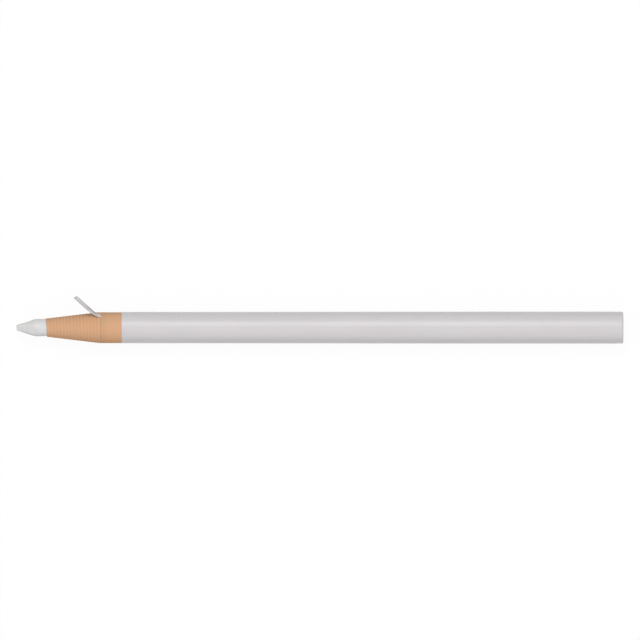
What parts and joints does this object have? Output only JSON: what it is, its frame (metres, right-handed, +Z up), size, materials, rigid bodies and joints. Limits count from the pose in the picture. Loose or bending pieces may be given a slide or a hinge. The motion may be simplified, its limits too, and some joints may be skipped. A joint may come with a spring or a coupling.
{
  "type": "china marker",
  "caption": "Paper-wrapped wax marker: a wax core in wound kraft paper strips that peel off over the point, a plain white label and a pull string.",
  "frame": {"origin": "middle of the flat rear face, on the marker's axis", "axes": "+X runs along the marker and out of its rear face, so the point is at -X; +Z is up as the marker lies on a table, and the string leaves the paper on the +Y side, above the middle"},
  "size_m": [0.17, 0.0133, 0.0115],
  "materials": {
    "wax": "satin",
    "kraft_paper": "matte",
    "label_paper": "satin",
    "string": "matte"
  },
  "bodies": {
    "marker": {"wax_core": "wax", "peel_strip_01": "kraft_paper", "peel_strip_02": "kraft_paper", "peel_strip_03": "kraft_paper", "peel_strip_04": "kraft_paper", "peel_strip_05": "kraft_paper", "peel_strip_06": "kraft_paper", "peel_strip_07": "kraft_paper", "peel_strip_08": "kraft_paper", "peel_strip_09": "kraft_paper", "peel_strip_10": "kraft_paper", "peel_strip_11": "kraft_paper", "peel_strip_12": "kraft_paper", "peel_strip_13": "kraft_paper", "peel_strip_14": "kraft_paper", "peel_strip_15": "kraft_paper", "peel_strip_16": "kraft_paper", "peel_strip_17": "kraft_paper", "peel_strip_18": "kraft_paper", "peel_strip_19": "kraft_paper", "peel_strip_20": "kraft_paper", "peel_strip_21": "kraft_paper", "peel_strip_22": "kraft_paper", "peel_strip_23": "kraft_paper", "peel_strip_24": "kraft_paper", "label_wrap": "label_paper", "pull_string": "string"},
    "cone_strip": {"cone_strip": "kraft_paper"},
    "string_tail": {"string_tail": "string"}
  },
  "joints": [
    {"name": "strip_off", "type": "slide", "parent": "marker", "child": "cone_strip", "axis": [-1, 0, 0], "range_m": [0, 0.03]},
    {"name": "string_lift", "type": "hinge", "parent": "marker", "child": "string_tail", "pos_m": [-0.14776, 0.00352, 0.00275], "axis": [0, 0.6157, -0.788], "range_deg": [-38, 100]}
  ]
}
